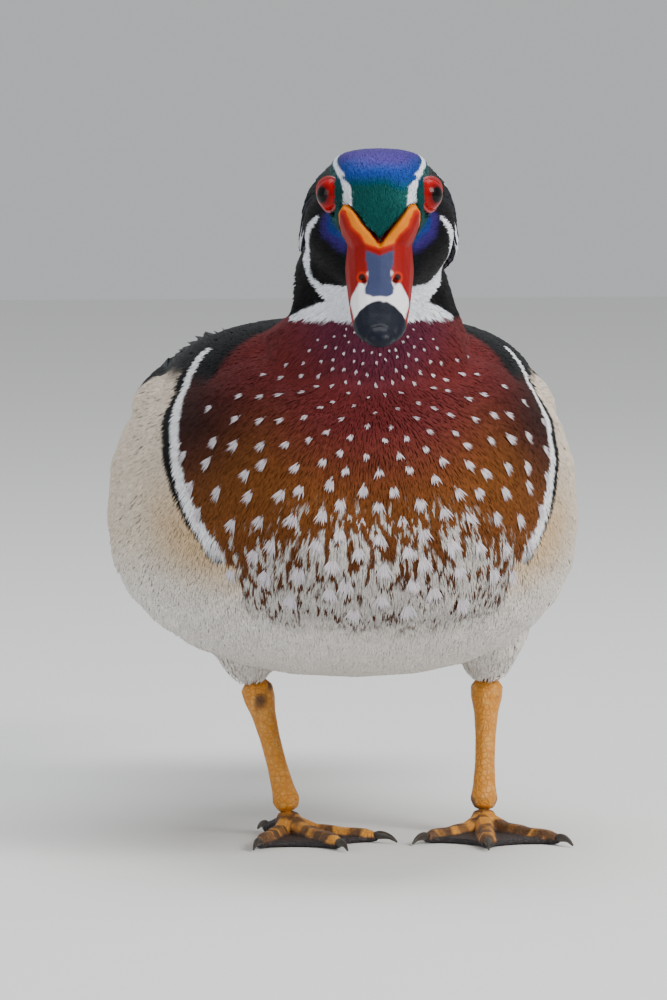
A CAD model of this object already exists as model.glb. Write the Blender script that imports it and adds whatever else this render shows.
# %% [markdown]
# # A wood duck drake, standing
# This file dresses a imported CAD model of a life-size wood duck. The solids give the sizes and the places.
# Blender adds what a solid can't show: the coat of small feathers, the long feathers of wings and tail,
# the painted bill, the glassy eyes and the scaly legs. The file reads from top to bottom as a lesson.

# %% Load the frame
import math

import bmesh
import bpy
import numpy as np
from mathutils import Matrix, Vector
from mathutils.bvhtree import BVHTree


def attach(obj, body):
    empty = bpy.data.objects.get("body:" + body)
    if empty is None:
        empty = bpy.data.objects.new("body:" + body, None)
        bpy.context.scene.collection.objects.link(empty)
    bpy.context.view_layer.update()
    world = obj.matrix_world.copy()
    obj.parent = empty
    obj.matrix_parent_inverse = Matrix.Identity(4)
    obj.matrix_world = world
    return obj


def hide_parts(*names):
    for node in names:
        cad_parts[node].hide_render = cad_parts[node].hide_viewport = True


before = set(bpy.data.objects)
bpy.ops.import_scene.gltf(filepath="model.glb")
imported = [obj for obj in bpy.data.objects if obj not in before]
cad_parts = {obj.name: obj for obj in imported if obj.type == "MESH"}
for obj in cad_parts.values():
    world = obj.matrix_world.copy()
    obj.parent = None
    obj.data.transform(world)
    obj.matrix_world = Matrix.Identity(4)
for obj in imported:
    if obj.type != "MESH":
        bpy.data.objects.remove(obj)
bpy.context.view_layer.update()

MM = 0.001

# %% [markdown]
# ## Measures that the solids were built from
# The body leans by five degrees, and the head turns and pitches about the point between the eyes. The same
# numbers are repeated here in millimetres, so that feathers can be laid on the same forms. `in_head` and
# `from_head` go between the model's own frame and the head's frame, where -Y points along the bill.

# %% Body and head frames
SHIFT = np.array([0, -168.84, 0])
BREAST_FRONT = -170.6
EYE_LINE = np.array([0, -160.84, 195])
BODY_LEAN = math.radians(5)
HEAD_PITCH = math.radians(27)
HEAD_TURN = math.radians(5)


def turn_x(angle):
    c, s = math.cos(angle), math.sin(angle)
    return np.array([[1, 0, 0], [0, c, -s], [0, s, c]])


def turn_z(angle):
    c, s = math.cos(angle), math.sin(angle)
    return np.array([[c, -s, 0], [s, c, 0], [0, 0, 1]])


HEAD_AXES = turn_z(-HEAD_TURN) @ turn_x(HEAD_PITCH)


def in_head(points):
    return (np.asarray(points) - EYE_LINE) @ HEAD_AXES


def in_half_head(points):
    """Places in the head's frame, all brought to the bird's left."""
    here = in_head(points)
    here[:, 0] = np.abs(here[:, 0])
    return here


def from_head(points):
    return np.asarray(points) @ HEAD_AXES.T + EYE_LINE


def unit(vectors):
    return vectors / np.maximum(np.linalg.norm(vectors, axis=-1, keepdims=True), 1e-9)


def blend(a, b, share):
    return a + (b - a) * share


def ease(low, high, value):
    share = np.clip((value - low) / (high - low), 0, 1)
    return share * share * (3 - 2 * share)


def cover(colours, tone, share):
    """Colours with a tone laid over them, by one share for each point."""
    return blend(colours, tone, share[:, None])


def oval_reach(points, middle, half):
    """How far points lie from the middle of an oval, where 1 is on the oval."""
    return np.linalg.norm((points - middle) / half, axis=1)


print("the bill points", np.round(from_head([0, -1, 0]) - EYE_LINE, 2))

# %% [markdown]
# ## Camera, floor and light
# The camera looks from the photograph's angle: a long lens, almost level with the bird and a little to
# its right. A long lens keeps the body from looking large beside the head. One large soft light from the
# front on the bird's left gives the shine on the breast, a second from above lifts the crown, and a pale
# world fills the shadows.

# %% Camera
VIEW_AZIMUTH = math.radians(-5)
VIEW_HEIGHT = math.radians(4.5)
AIM_RIGHT = -0.01314
AIM_UP = -0.0866
DISTANCE = 3.5

ahead = Vector((
    -math.sin(VIEW_AZIMUTH) * math.cos(VIEW_HEIGHT),
    math.cos(VIEW_AZIMUTH) * math.cos(VIEW_HEIGHT),
    -math.sin(VIEW_HEIGHT),
))
right = ahead.cross(Vector((0, 0, 1))).normalized()
above = right.cross(ahead)
eyes_at = Vector(EYE_LINE * MM)
camera = bpy.data.objects.new("camera", bpy.data.cameras.new("camera"))
bpy.context.collection.objects.link(camera)
camera.data.lens = 441
camera.data.sensor_width = 36
camera.data.sensor_fit = "AUTO"
camera.location = eyes_at + right * AIM_RIGHT + above * AIM_UP - ahead * DISTANCE
camera.rotation_euler = ahead.to_track_quat("-Z", "Y").to_euler()
camera.data.clip_end = 20
bpy.context.scene.camera = camera
print("camera at", [round(v, 3) for v in camera.location])

# %% Lights and world


def soft_light(name, place, aim, size, watts, colour=(1, 1, 1)):
    lamp = bpy.data.objects.new(name, bpy.data.lights.new(name, "AREA"))
    bpy.context.collection.objects.link(lamp)
    lamp.data.shape = "RECTANGLE"
    lamp.data.size = size
    lamp.data.size_y = size
    lamp.data.energy = watts
    lamp.data.color = colour
    lamp.location = place
    lamp.rotation_euler = (Vector(aim) - Vector(place)).to_track_quat("-Z", "Y").to_euler()
    return lamp


BODY_MIDDLE = (0, -0.05, 0.11)
soft_light("key", (0.95, -1.1, 0.95), BODY_MIDDLE, 0.7, 25, (1, 0.985, 0.96))
soft_light("top", (0.1, 0.3, 1.5), BODY_MIDDLE, 1.1, 19, (0.94, 0.97, 1))
soft_light("fill", (-1.3, -1.0, 0.55), BODY_MIDDLE, 0.9, 7, (0.95, 0.98, 1))
world = bpy.data.worlds.new("pale room")
bpy.context.scene.world = world
world.use_nodes = True
world.node_tree.nodes["Background"].inputs["Color"].default_value = (0.93, 0.95, 0.97, 1)
world.node_tree.nodes["Background"].inputs["Strength"].default_value = 0.55

# %% [markdown]
# ## A small language for materials
# A material is a tree of nodes. Writing each node by hand takes many lines, so `Value` wraps one socket and
# turns Python sums into Math nodes, and `Finish.add` makes any other node. A colour always goes through a
# Mix node, because a Math node would turn it grey.

# %% Sockets and finishes


def sign_method(operation, turned=False):
    """A method that answers Python's own sign, such as +, with a Math node."""
    def method(self, other):
        pair = (other, self) if turned else (self, other)
        return self.sum_with(operation, *pair)
    return method


class Value:
    def __init__(self, tree, socket):
        self.tree = tree
        self.socket = socket

    def sum_with(self, operation, *operands):
        node = self.tree.nodes.new("ShaderNodeMath")
        node.operation = operation
        for slot, operand in zip(node.inputs, operands):
            put(self.tree, slot, operand)
        return Value(self.tree, node.outputs[0])

    __add__ = sign_method("ADD")
    __radd__ = sign_method("ADD", turned=True)
    __sub__ = sign_method("SUBTRACT")
    __rsub__ = sign_method("SUBTRACT", turned=True)
    __mul__ = sign_method("MULTIPLY")
    __rmul__ = sign_method("MULTIPLY", turned=True)

    def wave(self):
        return self.sum_with("SINE", self)

    def size(self):
        return self.sum_with("ABSOLUTE", self)


def put(tree, slot, value):
    if isinstance(value, Value):
        tree.links.new(value.socket, slot)
    elif hasattr(slot.default_value, "__len__") and len(slot.default_value) == 4 and len(value) == 3:
        slot.default_value = (*value, 1)
    else:
        slot.default_value = value


class Finish:
    def __init__(self, name, **constants):
        self.material = bpy.data.materials.new(name)
        self.material.use_nodes = True
        self.tree = self.material.node_tree
        self.shader = self.tree.nodes["Principled BSDF"]
        self.set({key.replace("_", " ").title(): value for key, value in constants.items()})

    def set(self, sockets):
        for name, value in sockets.items():
            put(self.tree, self.shader.inputs[name.replace("Ior", "IOR")], value)

    def add(self, kind, settings, sockets, output=0):
        node = self.tree.nodes.new(kind)
        for name, value in settings.items():
            setattr(node, name, value)
        for name, value in sockets.items():
            put(self.tree, node.inputs[name], value)
        return Value(self.tree, node.outputs[output])

    def object_place(self):
        return self.add("ShaderNodeTexCoord", {}, {}, "Object")

    def noise(self, scale, detail=2, place=None, stretch=(1, 1, 1)):
        place = place or self.object_place()
        if stretch != (1, 1, 1):
            place = self.add("ShaderNodeMapping", {}, {"Vector": place, "Scale": stretch})
        return self.add("ShaderNodeTexNoise", {}, {"Vector": place, "Scale": scale, "Detail": detail}, "Fac")

    def painted(self, layer):
        return self.add("ShaderNodeAttribute", {"attribute_name": layer}, {}, "Color")

    def measured(self, layer):
        return self.add("ShaderNodeAttribute", {"attribute_name": layer}, {}, "Fac")

    def shade(self, colour, factor, tone, mode="MIX"):
        settings = {"data_type": "RGBA", "blend_type": mode}
        return self.add("ShaderNodeMix", settings, {0: factor, 6: colour, 7: tone}, 2)

    def grained(self, amount, dark, texture, pale):
        """The painted colours, darkened and lightened a little by a texture."""
        return self.shade(self.painted("plume"), amount, self.shade(dark, texture, pale), "MULTIPLY")

    def bump(self, height, strength, depth):
        sockets = {"Height": height, "Strength": strength, "Distance": depth}
        return self.add("ShaderNodeBump", {}, sockets, "Normal")


def paint(red, green, blue):
    """A colour as a paint chart gives it, 0 to 255, turned into the linear light that shaders use."""
    share = np.array([red, green, blue]) / 255
    return np.where(share <= 0.04045, share / 12.92, ((share + 0.055) / 1.055) ** 2.4)


print("a mid grey is", np.round(paint(128, 128, 128), 3))

# %% [markdown]
# ## The floor
# A plain pale floor carries the soles. It isn't part of the bird, so it is marked as stage.

# %% Floor
FLOOR_HALF = 2.5


def mesh_of(name, shape):
    """The shape of a bmesh as a smooth mesh. The bmesh is used up."""
    mesh = bpy.data.meshes.new(name)
    shape.to_mesh(mesh)
    shape.free()
    mesh.polygons.foreach_set("use_smooth", [True] * len(mesh.polygons))
    return mesh


floor_shape = bmesh.new()
bmesh.ops.create_grid(floor_shape, x_segments=2, y_segments=2, size=FLOOR_HALF)
floor_mesh = mesh_of("floor", floor_shape)
floor = bpy.data.objects.new("floor", floor_mesh)
bpy.context.collection.objects.link(floor)
plain = Finish("pale floor", roughness=0.85)
plain.set({"Base Color": tuple(paint(226, 226, 223))})
floor_mesh.materials.append(plain.material)
print("floor laid at z = 0")

# %% [markdown]
# ## Where each colour lies
# The bird's markings are drawn as named lines and distances on its own body: the white bar at the shoulder,
# the white crescent round the cheek, the brow line and the collar. One function, `plumage`, answers the
# colour of any place, so the skin, the coat and the long feathers carry the same marks.

# %% Lines of the markings, in millimetres
# On the body a point is side, distance behind the breast's front, height. On the head it is in head frame.
SHOULDER_BAR = np.array([
    (45.1, 82, 145), (48, 81.4, 141), (50.6, 80.6, 136.5), (52.3, 77.5, 132.5), (53.5, 72.4, 128.5),
    (54.3, 66.8, 124.2), (54.7, 61.3, 118.3), (54.3, 53, 109), (52, 44.5, 101.8), (48, 35.6, 94.4),
    (44.7, 29.4, 90.2),
])
BAR_SQUEEZE = np.array([0.6, 1, 1])
BAR_BEHIND = unit(np.array([(0.5, 0.85, 0.1)] * 7 + [(0.6, 0.7, -0.35)] * 4, dtype=float))
BROW = np.array([
    (9.7, -11.8, 5.3), (9.8, -8.8, 8), (11.4, -4.5, 9), (13, 3, 8), (13.5, 20, 3), (15, 32, -9),
])
BROW_HALF = np.array([1.8, 1.5, 0.75, 0.6, 1.2, 1.1])
CRESCENT = np.array([
    (18.6, 6.5, -11), (20.9, 8, -17.8), (21.6, 10, -24.5), (21.4, 8, -28.5), (19.8, 4, -31.5),
    (17, 0.5, -33.5), (8, -5, -33.5), (0, -7, -32.5),
])
CRESCENT_HALF = np.array([0.8, 1.8, 2.5, 3, 3.4, 4.6, 6.5, 7])
SIDEWAYS = np.array([0.35, 1, 1])
COLLAR = np.array([(22.8, 36, 158.6), (18.3, 28, 160.2), (12.5, 23, 161.5), (0, 19, 162)])
COLLAR_HALF = np.array([0.7, 2.2, 3.2, 4])
EYE_PLACE = np.array([12.6, -0.4, 1.1])
EYE_BALL = 5.3
EYE_FACE = unit(np.array([1, -0.74, 0.38]))


def near_line(points, line, extra):
    """Distance from each point to a line of points, with the line's extra values and nearest places."""
    best = np.full(len(points), 1e9)
    value = np.zeros((len(points), extra.shape[-1] if extra.ndim > 1 else 1))
    place = np.zeros_like(points)
    extra = extra if extra.ndim > 1 else extra[:, None]
    for a, b, low, high in zip(line[:-1], line[1:], extra[:-1], extra[1:]):
        step = b - a
        share = np.clip((points - a) @ step / (step @ step), 0, 1)[:, None]
        at = a + share * step
        far = np.linalg.norm(points - at, axis=1)
        closer = far < best
        best[closer] = far[closer]
        value[closer] = (low + (high - low) * share)[closer]
        place[closer] = at[closer]
    return best, value, place


def mottle(points, size, seed=0.0):
    """Smooth random values from 0 to 1 over space, repeatable, with blobs of about this size."""
    at = points / size + seed
    cell = np.floor(at).astype(np.int64)
    part = at - cell
    part = part * part * (3 - 2 * part)
    total = np.zeros(len(points))
    for corner in range(8):
        step = np.array([corner & 1, corner >> 1 & 1, corner >> 2 & 1])
        key = (cell + step) @ np.array([73856093, 19349663, 83492791])
        key = (key ^ (key >> 13)) * 1274126177 & 0xFFFFFF
        weight = np.prod(np.where(step, part, 1 - part), axis=1)
        total += weight * key / 0xFFFFFF
    return total


# %% Body colours
MAROON = paint(84, 34, 52)
WINE = paint(98, 36, 36)
CHESTNUT = paint(112, 64, 26)
DARK_SIDE = paint(44, 20, 15)
BAR_WHITE = paint(236, 236, 240)
BLACK = paint(8, 8, 9)
BACK_DARK = paint(20, 22, 24)
CREAM = paint(206, 192, 174)
GOLDEN = paint(196, 158, 104)
BELLY_WHITE = paint(218, 212, 206)
RUMP_MAROON = paint(74, 22, 44)
VENT_DARK = paint(30, 24, 24)


def flank_top(b):
    """The height where the cream flank feathers end and the dark wing shows, from front to back."""
    return np.interp(b, [60, 80, 110, 150, 190, 230], [150, 146, 138, 127, 115, 106])


def body_paint(points):
    x, z = points[:, 0], points[:, 2]
    side = np.abs(x)
    b = points[:, 1] - BREAST_FRONT
    here = np.stack([side, b, z], axis=1)
    reach = np.hypot(x, 162 - z)
    turn = np.abs(np.arctan2(x, np.maximum(162 - z, -40)))
    blur = mottle(points, 6) - 0.5
    colour = cover(MAROON, WINE, ease(12, 30, reach))
    colour = cover(colour, CHESTNUT, ease(32, 60, reach) * (1 - ease(0.72, 1.05, turn)))
    colour = cover(colour, DARK_SIDE, ease(34, 62, reach) * ease(0.6, 1.0, turn))
    gloss = 0.45 - 0.2 * ease(30, 60, reach)
    # The streaked band and the white belly under it
    pick = mottle(points * [1, 1, 0.25], 0.8)
    rows = mottle(points * [1, 1, 1.2], 4.2, 9)
    low = ease(114, 76, z + 11 * ease(20, 46, side))
    white_share = np.clip(low * 1.05 + 0.5 * (rows - 0.5) * low, 0, 1)
    streak = ease(0.06, -0.06, pick - 0.26 - 0.42 * white_share)
    belly = streak * ease(0.02, 0.18, low)
    dull = cover(colour, DARK_SIDE, 0.75 * low)
    colour = cover(dull, BELLY_WHITE * 0.66, belly)
    white_below = ease(77, 67, z + 5 * blur + 5 * ease(30, 0, b) - 4 * ease(50, 70, side))
    colour = cover(colour, BELLY_WHITE, white_below)
    # Behind the shoulder bar: a black bar, then the cream flank, with the dark back above it
    far, behind, at = near_line(here * BAR_SQUEEZE, SHOULDER_BAR * BAR_SQUEEZE, BAR_BEHIND)
    at = at / BAR_SQUEEZE
    signed = far * np.sign(np.einsum("ij,ij->i", here - at, behind))
    bar_fade = ease(84, 96, z)
    signed = np.where((b > 86) | ((z < 88) & (side > 38) & (b > 24)), np.maximum(np.abs(signed), 6), signed)
    flank = cover(CREAM, GOLDEN, ease(40, 5, signed) * ease(118, 94, z) * ease(66, 84, z) * 0.65)
    flank = cover(flank, BELLY_WHITE, ease(92, 70, z))
    flank = cover(flank, BACK_DARK, ease(-1, 1, z - flank_top(b)))
    black_wide = 1.5 + 4.5 * ease(90, 120, z)
    flank = cover(BLACK, flank, ease(black_wide - 0.6, black_wide + 0.6, signed - 2))
    colour = cover(colour, flank, ease(-0.3, 0.3, signed))
    bar = ease(2.9, 2.4, far) * bar_fade * (z < 147)
    colour = cover(colour, BAR_WHITE, bar)
    # Back between the wings, and the rump
    dark_back = ease(62, 67, b) * ease(135, 141, z)
    colour = cover(colour, BACK_DARK, dark_back * (1 - bar))
    rump = ease(188, 200, b + 8 * blur)
    dark_vent = cover(RUMP_MAROON, VENT_DARK, ease(0.5, 1, mottle(points, 14, 3)))
    dark_vent = cover(dark_vent, BACK_DARK, ease(113, 121, z))
    colour = cover(colour, dark_vent, rump)
    gloss = np.where(signed > 0, 0.08, gloss) * (1 - 0.7 * belly) * (1 - white_below)
    gloss = blend(gloss, 0.55, np.maximum(dark_back, rump * ease(120, 130, z)))
    return colour, gloss


# %% Head colours
TEAL = paint(6, 70, 68)
DEEP_GREEN = paint(5, 30, 30)
BLUE = paint(22, 60, 140)
PURPLE = paint(58, 40, 124)
CHEEK_BLACK = paint(9, 8, 11)
THROAT_WHITE = paint(226, 229, 238)


def head_paint(points):
    here = in_half_head(points)
    x, y, z = here.T
    height = 0.454 * y + 0.891 * z
    wander = 2.2 * (mottle(points, 5) - 0.5)
    crown = cover(DEEP_GREEN, TEAL, ease(-5, 0.5, z + wander))
    crown = cover(crown, BLUE, ease(2.5, 7.5, height + wander))
    crown = cover(crown, PURPLE, ease(8, 12, height + wander))
    crown = cover(crown, DEEP_GREEN, ease(12, 26, y))
    below = -z + 0.7 * np.maximum(y, 0) + 0.35 * np.maximum(-y - 8, 0) + wander
    cheek = cover(TEAL, BLUE * 0.8, ease(7, 10, below))
    cheek = cover(cheek, PURPLE * 0.7, ease(10, 12, below))
    cheek = cover(cheek, CHEEK_BLACK, ease(12, 15, below))
    cheek = cover(cheek, DEEP_GREEN, ease(-6.5, -10, y) * 0.8)
    side = ease(10.5, 12.5, x)
    side = np.maximum(side, ease(-6, -9, z))
    colour = cover(crown, cheek, side)
    nape = ease(5.5, 8.5, y + 0.12 * (z + 10)) * ease(-3, -9, z)
    colour = cover(colour, CHEEK_BLACK, nape)
    far, half, _ = near_line(here, BROW, BROW_HALF)
    far_side, half_side, _ = near_line(here * SIDEWAYS, BROW * SIDEWAYS, BROW_HALF)
    far, half = np.where(y > -4, far_side, far), np.where((y > -4)[:, None], half_side, half)
    brow = ease(0.35, -0.15, far - half[:, 0])
    far, half, _ = near_line(here * SIDEWAYS, CRESCENT * SIDEWAYS, CRESCENT_HALF)
    crescent = ease(0.35, -0.15, far - half[:, 0])
    throat = ease(-29.5, -31, z - 0.15 * (15 - x)) * ease(10, 7, y)
    chin = ease(-25, -26.5, z + 0.25 * x) * ease(12, 10, x) * ease(8, 4, y)
    white = np.maximum.reduce([brow, crescent, throat, chin])
    colour = cover(colour, THROAT_WHITE, white)
    gloss = 0.85 - 0.35 * ease(13, 17, below) * side
    return colour, gloss * (1 - white)


def neck_paint(points):
    here = np.stack([np.abs(points[:, 0]), points[:, 1] - BREAST_FRONT, points[:, 2]], axis=1)
    far, half, _ = near_line(here, COLLAR, COLLAR_HALF)
    white = np.maximum(ease(0.4, -0.2, far - half[:, 0]), ease(24, 21, here[:, 1]))
    return cover(CHEEK_BLACK, THROAT_WHITE, white), 0.3 * (1 - white)


def plumage(points):
    """Colour and gloss at places given in millimetres."""
    colour, gloss = body_paint(points)
    neck_share = ease(157.8, 158.6, points[:, 2] + 0.25 * (np.hypot(points[:, 0], points[:, 1] + 120) > 30))
    local = in_head(points)
    reach = oval_reach(local, [0, 8, -12], [26, 36, 28])
    head_share = (reach < 1) & (points[:, 2] > 160.5)
    neck_share = np.where((points[:, 1] < -90) & (np.abs(points[:, 0]) < 30), neck_share, 0)
    tone, shine = neck_paint(points)
    colour = cover(colour, tone, neck_share)
    gloss = blend(gloss, shine, neck_share)
    tone, shine = head_paint(points)
    return np.where(head_share[:, None], tone, colour), np.where(head_share, shine, gloss)


print("the breast's middle is", np.round(plumage(np.array([[0.0, -168.6, 128.0]]))[0], 3))

# %% [markdown]
# ## The plumage finish
# Every feathered piece carries two layers, "plume" for colour and "gloss" for shine. Glossy feathers are
# smoother and a little metallic, which gives the head its oily sheen. Fine noise keeps it from looking flat.

# %% Feather finishes


def feather_finish(name, grain):
    finish = Finish(name, specular_ior_level=0.08, sheen_weight=0.03, sheen_roughness=0.5)
    gloss = finish.measured("gloss")
    speck = finish.noise(grain, 2)
    finish.set({
        "Base Color": finish.grained(0.35, (0.55, 0.55, 0.55), speck, (1.45, 1.45, 1.45)),
        "Roughness": 0.78 - 0.38 * gloss,
        "Metallic": 0.35 * gloss,
        "Normal": finish.bump(speck, 0.25, 0.0004),
    })
    return finish.material


COAT_FINISH = feather_finish("soft coat", 2600)
SKIN_FINISH = feather_finish("skin under the coat", 1500)


def lay_colours(mesh, colours, gloss):
    paint_layer = mesh.color_attributes.new("plume", "FLOAT_COLOR", "POINT")
    full = np.ones((len(colours), 4), dtype=np.float32)
    full[:, :3] = colours
    paint_layer.data.foreach_set("color", full.ravel())
    gloss_layer = mesh.attributes.new("gloss", "FLOAT", "POINT")
    gloss_layer.data.foreach_set("value", np.asarray(gloss, dtype=np.float32))


def read(items, name, size, kind=np.float64):
    """One property of many items as an array, with a row for each item."""
    flat = np.zeros(len(items) * size, dtype=kind)
    items.foreach_get(name, flat)
    return flat.reshape(-1, size)


def points_of(mesh):
    return read(mesh.vertices, "co", 3)


def place_points(mesh, points):
    mesh.vertices.foreach_set("co", np.asarray(points, dtype=np.float32).ravel())
    mesh.update()


def finish_piece(name, mesh, nodes, material):
    piece = bpy.data.objects.new(name, mesh)
    bpy.context.collection.objects.link(piece)
    mesh.materials.append(material)
    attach(piece, "root")
    if nodes:
        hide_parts(*nodes)
    return piece


# %% [markdown]
# ## The forms under the feathers
# `Form` repeats the oval bodies that the CAD solids were lofted from, by their own rows of numbers. It gives
# the place of any point along and round a body, for the pads and for feathers that lie on them.

# %% Forms


class Form:
    """A body of oval sections along a line. A row is x, y, z, half width, rise, drop and lean in degrees."""

    def __init__(self, rows, power_up=2.2, power_down=2.2, to_world=None):
        self.rows = np.array([list(row) + [0] * (7 - len(row)) for row in rows], dtype=float)
        self.powers = power_up, power_down
        self.to_world = to_world

    def between(self, t):
        last = len(self.rows) - 1
        place = np.clip(t, 0, 1) * last
        i = np.minimum(place.astype(int), last - 1)
        f = (place - i)[..., None]
        a, b, c, d = (self.rows[np.clip(i + k, 0, last)] for k in (-1, 0, 1, 2))
        return b + 0.5 * f * (c - a + f * (2 * a - 5 * b + 4 * c - d + f * (3 * (b - c) + d - a)))

    def point(self, t, angle, grow=0.0):
        t = np.asarray(t, dtype=float)
        row = self.between(t)
        after = self.between(np.minimum(t + 1e-3, 1))[..., :3]
        before = self.between(np.maximum(t - 1e-3, 0))[..., :3]
        along = unit(after - before)
        lean = np.radians(row[..., 6:7])
        out = unit(np.array([1.0, 0, 0]) - along * along[..., :1])
        side = out * np.cos(lean) + np.cross(out, along) * np.sin(lean)
        up = unit(np.cross(side, along))
        c, s = np.cos(angle)[..., None], np.sin(angle)[..., None]
        power = 2 / np.where(s > 0, *self.powers)
        rise = np.where(s > 0, row[..., 4:5], row[..., 5:6])
        wide = (np.maximum(row[..., 3:4], 0.05) + grow) * np.sign(c) * np.abs(c) ** power
        tall = (np.maximum(rise, 0.05) + grow) * np.sign(s) * np.abs(s) ** power
        return self.to_world(row[..., :3] + side * wide + up * tall)


LEAN_MIDDLE = np.array([0, 75, 100])


def from_body(points):
    """The body is laid out level, then leaned about a line through it."""
    return (points - LEAN_MIDDLE) @ turn_x(-BODY_LEAN).T + LEAN_MIDDLE + SHIFT


torso_form = Form([
    (0, 0, 105.5, 0, 0, 0), (0, 3.1, 105.5, 20.9, 25.3, 18.7), (0, 11, 103.5, 33, 39.9, 30.8),
    (0, 24.1, 100.5, 43.1, 50, 38.6), (0, 41.9, 98.5, 51.8, 55.6, 43.6), (0, 65.5, 97.5, 59.8, 57.6, 46),
    (0, 95.9, 97.5, 66.4, 56.6, 46.5), (0, 130, 98.5, 69.5, 53.5, 45), (0, 165.1, 101.5, 65.7, 47, 40),
    (0, 197.8, 105.5, 52.5, 37, 29.8), (0, 225.8, 110.6, 36.8, 25.3, 19.2),
    (0, 247.9, 114.6, 20.9, 14.9, 10.1), (0, 262, 118.7, 0, 0, 0),
], 2.8, 2.35, from_body)
wing_form = Form([
    (37, 62, 133, 0, 0, 0, 42), (40, 74, 134, 4, 9, 9, 44), (45, 92, 135.5, 6, 15, 14, 48),
    (47, 120, 138.6, 7, 20, 17, 54), (42.5, 162, 138.4, 7, 20, 16, 60), (32, 204, 136.5, 6.2, 16, 12, 64),
    (19, 242, 139.5, 4, 10, 7.5, 68), (10, 272, 144, 2, 5, 4, 74), (8, 288, 145.5, 0, 0, 0, 76),
], to_world=from_body)
shoulder_form = Form([list(row[:7]) for row in wing_form.rows[:6]] + [(29, 216, 136.4, 0, 0, 0, 64)],
                     to_world=from_body)
mantle_form = Form([
    (0, 30, 128, 0, 0, 0), (0, 45, 125, 33, 31.5, 20), (0, 60, 122, 45, 36, 25), (0, 80, 120, 53, 37, 30),
    (0, 100, 119, 57, 36.5, 30), (0, 125, 118, 56, 34, 30), (0, 150, 116, 48, 28, 25),
    (0, 175, 114, 0, 0, 0),
], 3.0, 2.5, lambda points: points + [0, BREAST_FRONT, 0])
crest_form = Form([
    (0, 6, 4, 0, 0, 0), (0, 13, 2, 9, 4, 6), (0, 23, -4, 12, 4.5, 8), (0, 33, -12.5, 15, 5.5, 9),
    (0, 40.5, -23, 19.5, 6.5, 10), (0, 44.5, -35, 21.5, 7, 10), (0, 46, -48, 20, 6, 9),
    (0, 46, -62, 0, 0, 0),
], 2.2, 2, from_head)


def under_form(name, form, grow, mirror=False):
    """A plain pad of the form's own shape, for feathers to lie on: a ball whose points move to the form."""
    ball = bmesh.new()
    bmesh.ops.create_uvsphere(ball, u_segments=48, v_segments=40, radius=1)
    at = np.array([tuple(vert.co) for vert in ball.verts])
    t = 1 - np.arccos(at[:, 2].clip(-1, 1)) / math.pi
    place = form.point(t, np.arctan2(at[:, 1], at[:, 0]), grow)
    for vert, co in zip(ball.verts, place):
        vert.co = Vector(co * MM)
        if mirror:
            vert.co.x *= -1
    bmesh.ops.recalc_face_normals(ball, faces=ball.faces)
    return mesh_of(name, ball)


# %% [markdown]
# ## One skin under the coat
# The bird's flesh is one surface, so copies of the torso, neck, head and thighs are grown a little, joined
# and remeshed into small even squares, smoothed, then drawn in by the depth of the coat. Its own unwrap
# gives every tuft of the coat a place on the colour map.

# %% Copies of CAD nodes


def copy_of(*nodes, grow=0.0):
    """A bmesh of merged copies of CAD nodes, pushed out along their normals."""
    shape = bmesh.new()
    for node in nodes:
        part = bmesh.new()
        part.from_mesh(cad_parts[node].data)
        bmesh.ops.remove_doubles(part, verts=part.verts, dist=1e-6)
        part.normal_update()
        for vert in part.verts:
            vert.co += vert.normal * grow
        copied = bpy.data.meshes.new("copied")
        part.to_mesh(copied)
        part.free()
        shape.from_mesh(copied)
    return shape


def remeshed(name, shape, voxel, smooth_steps):
    """The shape as one closed surface of small even faces, smoothed."""
    rough = bpy.data.objects.new(name, mesh_of(name, shape))
    bpy.context.collection.objects.link(rough)
    remesh = rough.modifiers.new("remesh", "REMESH")
    remesh.mode = "VOXEL"
    remesh.voxel_size = voxel
    smooth = rough.modifiers.new("smooth", "SMOOTH")
    smooth.factor = 0.5
    smooth.iterations = smooth_steps
    graph = bpy.context.evaluated_depsgraph_get()
    done = bpy.data.meshes.new_from_object(rough.evaluated_get(graph))
    bpy.data.objects.remove(rough)
    done.name = name
    done.materials.clear()
    done.polygons.foreach_set("use_smooth", [True] * len(done.polygons))
    return done


def normals_of(mesh):
    return read(mesh.vertex_normals, "vector", 3)


def unwrap(piece):
    bpy.context.view_layer.objects.active = piece
    piece.select_set(True)
    bpy.ops.object.mode_set(mode="EDIT")
    bpy.ops.mesh.select_all(action="SELECT")
    bpy.ops.uv.smart_project(angle_limit=math.radians(66), island_margin=0.004)
    bpy.ops.object.mode_set(mode="OBJECT")
    piece.select_set(False)


# %% Skin
FLESH = ["torso", "neck", "head", "thigh_left", "thigh_right"]
COAT_DEPTH = 0.8
GROWN = 0.4
# The head is turned, so the neck's middle shifts sideways by this much for each mm along the bird
NECK_TURN = 0.0875
flesh = copy_of(*FLESH, grow=GROWN * MM)
for mirror in (False, True):
    flesh.from_mesh(under_form("shoulder", shoulder_form, 1.2, mirror))
flesh.from_mesh(under_form("mantle", mantle_form, 0))
skin_mesh = remeshed("skin", flesh, 1.3 * MM, 7)
skin_at = points_of(skin_mesh) - normals_of(skin_mesh) * (COAT_DEPTH + GROWN) * MM
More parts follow.
